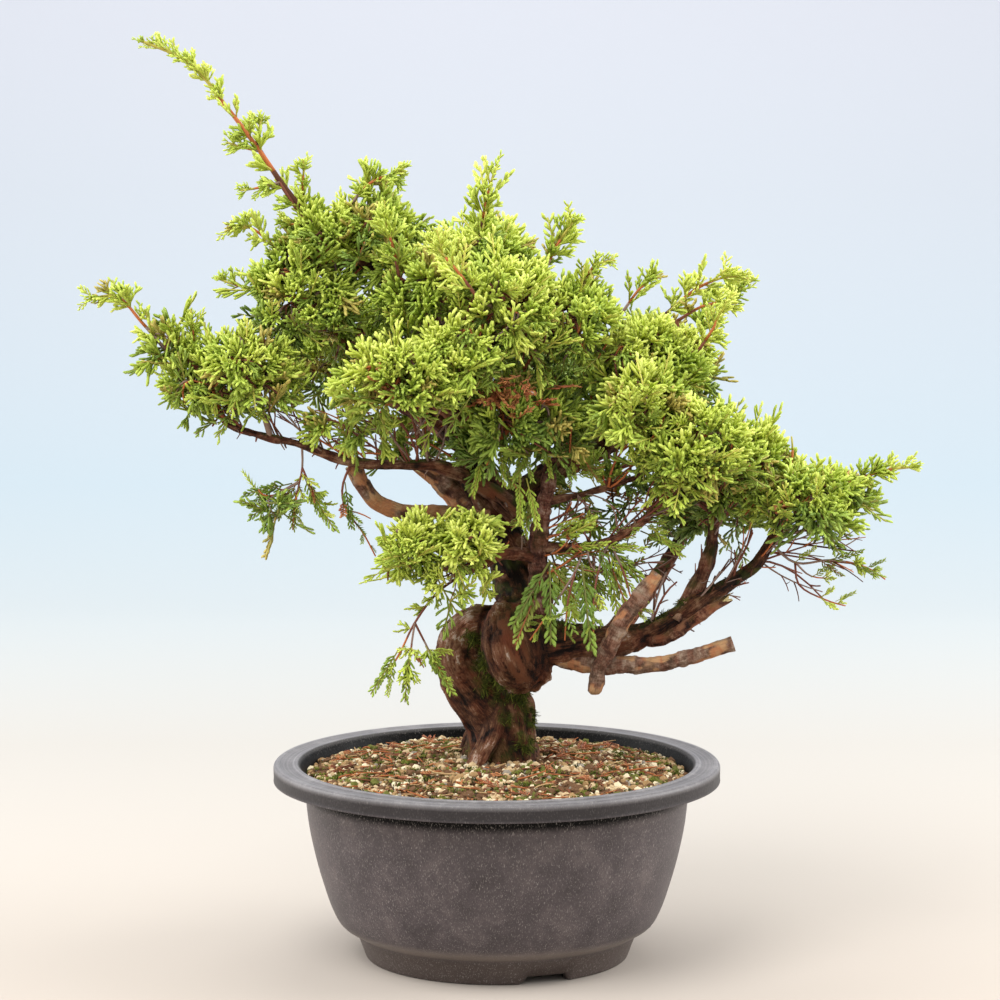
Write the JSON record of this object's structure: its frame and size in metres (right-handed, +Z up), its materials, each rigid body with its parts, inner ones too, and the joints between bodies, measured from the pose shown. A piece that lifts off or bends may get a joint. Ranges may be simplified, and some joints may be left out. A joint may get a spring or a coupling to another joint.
{
  "type": "bonsai juniper in a round pot",
  "caption": "Small informal bonsai juniper with a coiled trunk, deadwood stubs and scale-leaf foliage pads, standing in a round plastic training pot.",
  "frame": {"origin": "centre of the pot's flat underside, on the surface it stands on", "axes": "+Z up, +X towards the heavy right-hand bough, -Y towards the front of the tree"},
  "size_m": [0.4683, 0.2531, 0.5195],
  "materials": {
    "pot_plastic": "matte",
    "soil": "matte",
    "bark": "matte",
    "red_bark": "matte",
    "deadwood": "matte",
    "foliage_bright": "matte",
    "foliage_green": "matte",
    "foliage_dark": "matte",
    "foliage_bluish": "matte"
  },
  "bodies": {
    "root": {"pot": "pot_plastic", "soil": "soil", "trunk": "bark", "bough_right": "bark", "leader_cut": "red_bark", "bough_left": "bark", "stub_back_left": "deadwood", "stub_left": "deadwood", "bough_right_riser": "bark", "stub_right": "deadwood", "stub_front": "deadwood", "snag_right": "deadwood", "bough_mid_right": "bark", "bough_thin_right": "bark", "bough_inner_right": "bark", "bough_left_upper": "bark", "bough_top_left": "bark", "bough_front": "bark", "bough_top_right": "bark", "bough_back": "bark", "bough_back_left": "bark", "bough_back_right": "bark", "bough_low_back": "bark", "bough_low_left": "bark", "foliage_far_left": "foliage_green", "foliage_left_middle": "foliage_bright", "foliage_left_ball": "foliage_green", "foliage_top_left": "foliage_green", "foliage_crown_left": "foliage_green", "foliage_top": "foliage_green", "foliage_crown_middle": "foliage_bright", "foliage_crown_right": "foliage_green", "foliage_front_bright": "foliage_bright", "foliage_left_under": "foliage_green", "foliage_centre_open": "foliage_dark", "foliage_right_middle": "foliage_bright", "foliage_right_front": "foliage_bright", "foliage_right_pad": "foliage_green", "foliage_far_right": "foliage_green", "foliage_low_right": "foliage_green", "foliage_low_left": "foliage_bright", "foliage_hanging_low": "foliage_green", "foliage_hanging_left": "foliage_green", "foliage_hanging_middle": "foliage_dark", "foliage_needles_front": "foliage_dark", "foliage_needles_right": "foliage_green", "foliage_inner_right": "foliage_dark", "foliage_back_centre": "foliage_green", "foliage_back_left": "foliage_green", "foliage_back_right": "foliage_bluish", "foliage_back_low_right": "foliage_bluish", "foliage_back_top": "foliage_green", "foliage_back_low_left": "foliage_dark", "foliage_back_middle": "foliage_bluish"}
  },
  "joints": []
}
